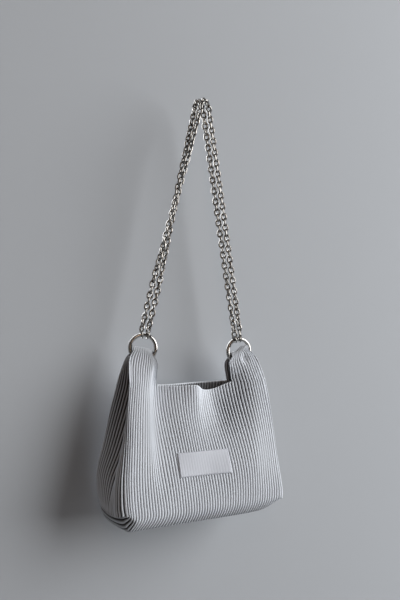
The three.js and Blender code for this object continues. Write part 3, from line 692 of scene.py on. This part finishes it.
# Label
# A small bare patch of smooth woven tape, laid over the ribs low on the front and held at its edges,
# so that the ribs show faintly through it.
LABEL_LEFT = -29.0
LABEL_RIGHT = 31.0
LABEL_LOW = 34.5
LABEL_HIGH = 59.0
LABEL_GAP = 0.3
LABEL_THICK = 0.8
LABEL_EDGE = 0.45       # share of the thickness at its edge, and how far in it is whole
LABEL_EDGE_WIDTH = 0.9
LABEL_RELIEF = 0.12     # how much of the ribs shows through, and how round they are
LABEL_SHARPNESS = 3.0
TAPE_DULL = (0.44, 0.46, 0.505, 1.0)
TAPE_PALE = (0.505, 0.525, 0.57, 1.0)

label_z = np.linspace(LABEL_LOW, LABEL_HIGH, 25)[:, None]
label_x = np.linspace(LABEL_LEFT, LABEL_RIGHT, 181)
# The rib place under each point of the label is found by steps that close in on it.
front_width = across(1.0, label_z) - across(-1.0, label_z)
label_s = np.zeros((len(label_z), len(label_x)))
for step in range(10):
    label_s += 2 * (label_x - drawn_across(label_s, label_z)) / front_width
label_points = wall("front", label_s, label_z)
label_rib = (label_s + 1) * RIBS / 2
label_along = np.broadcast_to(label_z, label_rib.shape)
label_lay = np.stack([label_rib, label_along, rib_height(label_rib, LABEL_SHARPNESS)], -1)
points, lay, quads = join_patches([(label_points, label_lay)])
edge_fall = np.minimum.reduce([points[:, 0] - LABEL_LEFT, LABEL_RIGHT - points[:, 0],
                               points[:, 2] - LABEL_LOW, LABEL_HIGH - points[:, 2]])
full = LABEL_THICK * (LABEL_EDGE + (1 - LABEL_EDGE) * ease(edge_fall / LABEL_EDGE_WIDTH))
raised = full - LABEL_RELIEF * (1 - lay[:, 2])
solid, faces = thicken(points, quads, -(LABEL_GAP + raised), np.full(len(points), -LABEL_GAP))

tape, tree, surface = new_finish("smooth_woven_tape")
place = shader_node(tree, "ShaderNodeTexCoord").outputs["Object"]
threads = shader_node(tree, "ShaderNodeTexWave", {"Vector": place, "Scale": 420.0, "Distortion": 0.6},
                      bands_direction="Z")
thread_tone = shader_node(tree, "ShaderNodeMixRGB", {
    "Fac": threads.outputs["Fac"], "Color1": TAPE_DULL, "Color2": TAPE_PALE})
tree.links.new(thread_tone.outputs["Color"], surface.inputs["Base Color"])
bump = shader_node(tree, "ShaderNodeBump", {
    "Height": threads.outputs["Fac"], "Strength": 0.2, "Distance": 0.0001})
tree.links.new(bump.outputs["Normal"], surface.inputs["Normal"])
surface.inputs["Roughness"].default_value = 0.55
surface.inputs["Sheen Weight"].default_value = 0.15
label = make_piece("label_tape", metres(solid), faces, tape)
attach(label, "root")
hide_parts("label_patch")

# Rings
# A closed ring of round polished wire stands in the fold of each ear, turned with the ear.
RING_RADIUS = 13.6
RING_WIRE = 2.1
RING_ABOVE_FOLD = 4.2
RING_SIDES = 80
RING_WIRE_SIDES = 20
UP = np.array([0.0, 0.0, 1.0])


def ring_centre(ear):
    """Middle of a ring: over the middle of its ear's fold line."""
    return np.array([ear["ring_x"], 0.0, MOUTH + (EAR_TOP - MOUTH) * ear["share"] + RING_ABOVE_FOLD])


def ring_across(ear):
    """Level direction in the plane of a ring."""
    turn = np.radians(ear["turn"])
    return np.array([np.cos(turn), np.sin(turn), 0.0])


def wire_loop(centre, along, wide, half_length, half_width, wire, sides, wire_sides):
    """Closed oval of round wire: an ellipse in the plane of along and wide, with a circle carried round it.

    The first four may be rows of many loops, which are then made together.
    """
    turn = np.linspace(0, 2 * np.pi, sides, endpoint=False)[:, None, None]
    round_wire = np.linspace(0, 2 * np.pi, wire_sides, endpoint=False)[None, :, None]
    along, wide, centre = (np.atleast_2d(v)[:, None, None, :] for v in (along, wide, centre))
    path = along * half_length * np.cos(turn) + wide * half_width * np.sin(turn)
    out = along * np.cos(turn) * half_width + wide * np.sin(turn) * half_length
    out = out / np.linalg.norm(out, axis=-1, keepdims=True)
    return centre + path + wire * (out * np.cos(round_wire) + np.cross(along, wide) * np.sin(round_wire))


def loop_quads(loops, sides, wire_sides):
    """Faces of closed loops, each a grid that joins up with itself both ways."""
    numbers = np.arange(loops * sides * wire_sides).reshape(loops, sides, wire_sides)
    ahead = np.roll(numbers, -1, axis=1)
    quads = np.stack([numbers, ahead, np.roll(ahead, -1, axis=2), np.roll(numbers, -1, axis=2)], -1)
    return quads.reshape(-1, 4)


def nickel(name, deep, bright, gloss_range):
    """Polished nickel with smears of two tones that also change its gloss, and fine scratches."""
    finish, tree, surface = new_finish(name)
    place = shader_node(tree, "ShaderNodeTexCoord").outputs["Object"]
    smear = shader_node(tree, "ShaderNodeTexNoise", {"Vector": place, "Scale": 140.0, "Detail": 3.0})
    gloss = shader_node(tree, "ShaderNodeMapRange", {
        "Value": smear.outputs["Fac"], "To Min": gloss_range[0], "To Max": gloss_range[1]})
    tree.links.new(gloss.outputs["Result"], surface.inputs["Roughness"])
    tarnish = shader_node(tree, "ShaderNodeMixRGB", {
        "Fac": smear.outputs["Fac"], "Color1": deep, "Color2": bright})
    tree.links.new(tarnish.outputs["Color"], surface.inputs["Base Color"])
    scratch = shader_node(tree, "ShaderNodeTexNoise", {"Vector": place, "Scale": 900.0, "Detail": 2.0})
    bump = shader_node(tree, "ShaderNodeBump", {
        "Height": scratch.outputs["Fac"], "Strength": 0.08, "Distance": 0.0001})
    tree.links.new(bump.outputs["Normal"], surface.inputs["Normal"])
    surface.inputs["Metallic"].default_value = 1.0
    return finish


ring_nickel = nickel("ring_nickel", (0.33, 0.318, 0.3, 1.0), (0.52, 0.502, 0.475, 1.0), (0.05, 0.16))
for ear, name in zip(EARS, ("left", "right")):
    solid = wire_loop(ring_centre(ear), ring_across(ear), UP, RING_RADIUS, RING_RADIUS, RING_WIRE,
                      RING_SIDES, RING_WIRE_SIDES)
    ring = make_piece("ring_wire_" + name, metres(solid.reshape(-1, 3)),
                      loop_quads(1, RING_SIDES, RING_WIRE_SIDES), ring_nickel)
    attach(ring, "root")
    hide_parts("ring_" + name)

# End links
# Two round links hang on each ring, pulled up against its inside and leaning to the bag's middle, one
# for each strand of the chain.
END_LINK_RADIUS = 3.9
END_LINK_WIRE = 0.8
END_LINK_GAP = 0.35
END_LINK_LEAN = 9.0     # degrees
END_LINK_SIDES = 28
END_LINK_WIRE_SIDES = 10
STRAND_SPACING = 6.4
chain_nickel = nickel("chain_nickel", (0.17, 0.161, 0.148, 1.0), (0.45, 0.432, 0.406, 1.0), (0.05, 0.15))


def end_link_angle(ear, half):
    """Place of an end link round its ring from the top: the lean, and half the spacing either way."""
    return -ear["side"] * np.radians(END_LINK_LEAN) + np.arcsin(half * STRAND_SPACING / 2 / RING_RADIUS)


def end_link_centre(ear, half):
    """Middle of an end link: out from the ring's middle until its wire meets the ring's inside."""
    angle = end_link_angle(ear, half)
    out = RING_RADIUS + END_LINK_RADIUS - END_LINK_WIRE - RING_WIRE - END_LINK_GAP
    return ring_centre(ear) + out * (ring_across(ear) * np.sin(angle) + UP * np.cos(angle))


for ear, name in zip(EARS, ("left", "right")):
    for half, strand in ((-1, "a"), (1, "b")):
        angle = end_link_angle(ear, half)
        out = ring_across(ear) * np.sin(angle) + UP * np.cos(angle)
        axis = np.cross(ring_across(ear), UP)
        solid = wire_loop(end_link_centre(ear, half), out, axis, END_LINK_RADIUS, END_LINK_RADIUS,
                          END_LINK_WIRE, END_LINK_SIDES, END_LINK_WIRE_SIDES)
        link = make_piece(f"end_wire_{name}_{strand}", metres(solid.reshape(-1, 3)),
                          loop_quads(1, END_LINK_SIDES, END_LINK_WIRE_SIDES), chain_nickel)
        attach(link, "root")
        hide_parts(f"end_link_{name}_{strand}")

# Chain
# Two strands of oval polished links run side by side up from one ring, over the hanging point and down to
# the other. Each link stands square to the one before it and to the one beside it, and the left leg is
# twisted by nearly half a turn.
LINK_WIRE = 1.12
LINK_HALF_WIDTH = 2.5
LINK_SIDES = 12
LINK_WIRE_SIDES = 5
STRAND_LIFT = 1.1        # of the middle line's ends over the end links
STRAND_END = 0.3         # from there to the middle of the first link
CHAIN_SPACING = 6.9      # the strands stand a little further apart than the end links
STRAND_RADIUS = 2.8
SUPPORT_RADIUS = 11.0
ARC_FROM = 10.0          # degrees over level at which the legs meet the arc over the support
OVER = np.array([0.78, 0.626, 0.0])     # from the left leg over to the right leg
LINKS = 89
STRANDS = {"a": (-1, 0.0), "b": (1, 90.0)}   # side of the middle line, and turn of its links in degrees
END_TURN = 45.0          # the links turn back by this angle at the end links, over so many links
TURN_LINKS = 4
WOBBLE = 7.0             # degrees by which links lie uneven, and how fast that changes from link to link
WOBBLE_STEP = 2.4
DIRECTION_STEP = 1.5     # to each side of a link's middle, for the direction of the chain there
CHAIN_TURN = table(
    "at angle",
    (0, -24), (0.08, -18), (0.15, 18), (0.22, 48), (0.27, 66), (0.36, 98), (0.5, 128), (0.8, 150), (1, 174))


def chain_foot(ear):
    """Lower end of the chain's middle line, between the two end links of a ring."""
    low = (end_link_centre(ear, 1) + end_link_centre(ear, -1)) / 2
    return low + UP * (END_LINK_RADIUS + END_LINK_WIRE + STRAND_LIFT)


# Middle line: a straight leg, an arc over the support and a straight leg, with its length at each point.
over_angle = np.radians(np.linspace(ARC_FROM, 180 - ARC_FROM, 61))[:, None]
over_radius = SUPPORT_RADIUS + STRAND_RADIUS
over_top = (HANG - UP * SUPPORT_RADIUS - OVER * over_radius * np.cos(over_angle)
            + UP * over_radius * np.sin(over_angle))
leg = np.linspace(0, 1, 120)[:, None]
left_leg = chain_foot(EARS[0]) * (1 - leg) + over_top[0] * leg
right_leg = over_top[-1] * (1 - leg) + chain_foot(EARS[1]) * leg
route = np.concatenate([left_leg[:-1], over_top, right_leg[1:]])
route_run = np.concatenate([[0], np.cumsum(np.linalg.norm(np.diff(route, axis=0), axis=1))])


def route_at(run):
    """Point of the middle line at each length along it."""
    return np.stack([np.interp(run, route_run, route[:, axis]) for axis in range(3)], -1)


for strand, (half, turn) in STRANDS.items():
    run = np.linspace(STRAND_END, route_run[-1] - STRAND_END, LINKS)
    pitch = run[1] - run[0]
    along = route_at(run + DIRECTION_STEP) - route_at(run - DIRECTION_STEP)
    along /= np.linalg.norm(along, axis=1, keepdims=True)
    angle = np.radians(curve_through(CHAIN_TURN, "angle", run / route_run[-1]))
    beside = np.stack([np.cos(angle), np.sin(angle), np.zeros(LINKS)], -1)
    beside -= along * np.sum(beside * along, axis=1, keepdims=True)
    beside /= np.linalg.norm(beside, axis=1, keepdims=True)
    centre = route_at(run) + beside * half * CHAIN_SPACING / 2
    number = np.arange(LINKS)
    from_end = np.minimum(number, LINKS - 1 - number)
    turned_back = END_TURN * (1 - ease(from_end / TURN_LINKS))
    roll = 90.0 * (number % 2) + WOBBLE * np.sin(WOBBLE_STEP * number) + turn - turned_back
    roll = np.radians(roll)[:, None]
    wide = beside * np.cos(roll) + np.cross(along, beside) * np.sin(roll)
    solid = wire_loop(centre, along, wide, pitch / 2 + LINK_WIRE, LINK_HALF_WIDTH, LINK_WIRE,
                      LINK_SIDES, LINK_WIRE_SIDES)
    chain = make_piece("chain_links_" + strand, metres(solid.reshape(-1, 3)),
                       loop_quads(LINKS, LINK_SIDES, LINK_WIRE_SIDES), chain_nickel)
    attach(chain, "root")
    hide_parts("chain_strand_" + strand)
